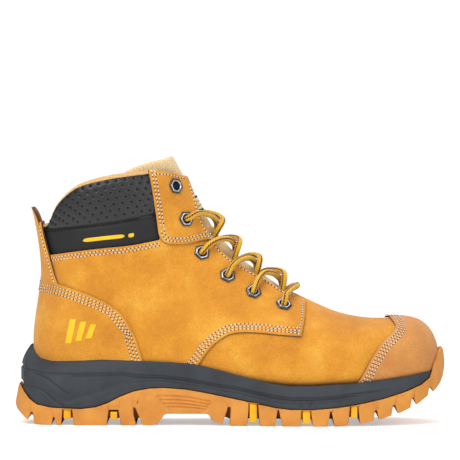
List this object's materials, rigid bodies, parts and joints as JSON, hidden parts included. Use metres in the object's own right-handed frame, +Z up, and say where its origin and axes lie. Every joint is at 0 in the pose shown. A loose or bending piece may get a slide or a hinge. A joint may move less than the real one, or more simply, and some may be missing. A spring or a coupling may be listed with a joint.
{
  "type": "safety work boot",
  "caption": "Ankle-height lace-up safety work boot for a right foot, with a steel toecap, padded collar, hexagonal eyelets and a lugged two-layer sole.",
  "frame": {"origin": "on the ground, under the middle of the boot's bounding box", "axes": "+X towards the toe, +Y towards the inner side of the foot, +Z up"},
  "size_m": [0.3055, 0.1121, 0.1894],
  "materials": {
    "nubuck": "wheat nubuck with a short nap",
    "toe_nubuck": "smoother scuff-resistant nubuck, slightly browner",
    "overlay_nubuck": "wheat nubuck with raw dark edges",
    "collar_fabric": "perforated black synthetic over padding",
    "padding_foam": "soft foam",
    "lining_mesh": "tan spacer mesh",
    "tongue_mesh": "padded tan mesh",
    "label_weave": "woven label in plain stripes",
    "lace_braid": "round yellow braid with maroon stripes",
    "aglet_plastic": "clear sleeve over the braid end",
    "eyelet_steel": "gunmetal plated steel",
    "stay_leather": "brown flesh side",
    "midsole_pu": "slate grey moulded polyurethane",
    "gum_rubber": "gum rubber",
    "insert_yellow": "soft yellow rubber",
    "plate_steel": "bare spring steel",
    "toecap_steel": "coated pressed steel",
    "strip_rubber": "soft black rubber",
    "board_fibre": "pressed fibre board",
    "footbed_fabric": "fabric over moulded foam",
    "stiffener": "thermoplastic sheet"
  },
  "bodies": {
    "boot": {"lace": "lace_braid", "lace_aglet_outer": "aglet_plastic", "lace_aglet_inner": "aglet_plastic", "quarter_outer": "nubuck", "quarter_inner": "nubuck", "collar_outer": "collar_fabric", "collar_inner": "collar_fabric", "facing_patch_outer": "overlay_nubuck", "facing_patch_inner": "overlay_nubuck", "eyelet_stay_outer": "stay_leather", "eyelet_stay_inner": "stay_leather", "vamp": "nubuck", "toe_guard": "toe_nubuck", "heel_guard": "overlay_nubuck", "backstay": "overlay_nubuck", "steel_toecap": "toecap_steel", "toecap_edge_strip": "strip_rubber", "heel_counter": "stiffener", "collar_padding": "padding_foam", "collar_lining": "lining_mesh", "vamp_lining": "lining_mesh", "quarter_lining": "lining_mesh", "steel_midsole_plate": "plate_steel", "insole_board": "board_fibre", "midsole": "midsole_pu", "outsole": "gum_rubber", "cushion_insert_1": "insert_yellow", "cushion_insert_2": "insert_yellow", "cushion_insert_3": "insert_yellow", "cushion_insert_4": "insert_yellow", "cushion_insert_5": "insert_yellow", "eyelet_outer_1": "eyelet_steel", "eyelet_washer_outer_1": "eyelet_steel", "eyelet_outer_2": "eyelet_steel", "eyelet_washer_outer_2": "eyelet_steel", "eyelet_outer_3": "eyelet_steel", "eyelet_washer_outer_3": "eyelet_steel", "eyelet_outer_4": "eyelet_steel", "eyelet_washer_outer_4": "eyelet_steel", "eyelet_outer_5": "eyelet_steel", "eyelet_washer_outer_5": "eyelet_steel", "eyelet_outer_6": "eyelet_steel", "eyelet_washer_outer_6": "eyelet_steel", "eyelet_inner_1": "eyelet_steel", "eyelet_washer_inner_1": "eyelet_steel", "eyelet_inner_2": "eyelet_steel", "eyelet_washer_inner_2": "eyelet_steel", "eyelet_inner_3": "eyelet_steel", "eyelet_washer_inner_3": "eyelet_steel", "eyelet_inner_4": "eyelet_steel", "eyelet_washer_inner_4": "eyelet_steel", "eyelet_inner_5": "eyelet_steel", "eyelet_washer_inner_5": "eyelet_steel", "eyelet_inner_6": "eyelet_steel", "eyelet_washer_inner_6": "eyelet_steel"},
    "tongue": {"tongue": "tongue_mesh", "tongue_label": "label_weave"},
    "footbed": {"footbed": "footbed_fabric"},
    "pull_tab": {"pull_tab": "overlay_nubuck"}
  },
  "joints": [
    {"name": "tongue_fold", "type": "hinge", "parent": "boot", "child": "tongue", "pos_m": [0.06, 0, 0.082], "axis": [0, 1, 0], "range_deg": [-4, 0]},
    {"name": "footbed_lift", "type": "hinge", "parent": "boot", "child": "footbed", "pos_m": [0.128, 0, 0.03], "axis": [0, 1, 0], "range_deg": [0, 3]},
    {"name": "pull_tab_flex", "type": "hinge", "parent": "boot", "child": "pull_tab", "pos_m": [-0.1385, 0, 0.143], "axis": [0, 1, 0], "range_deg": [-45, 0], "stiffness_Nm_per_rad": 0.03}
  ]
}
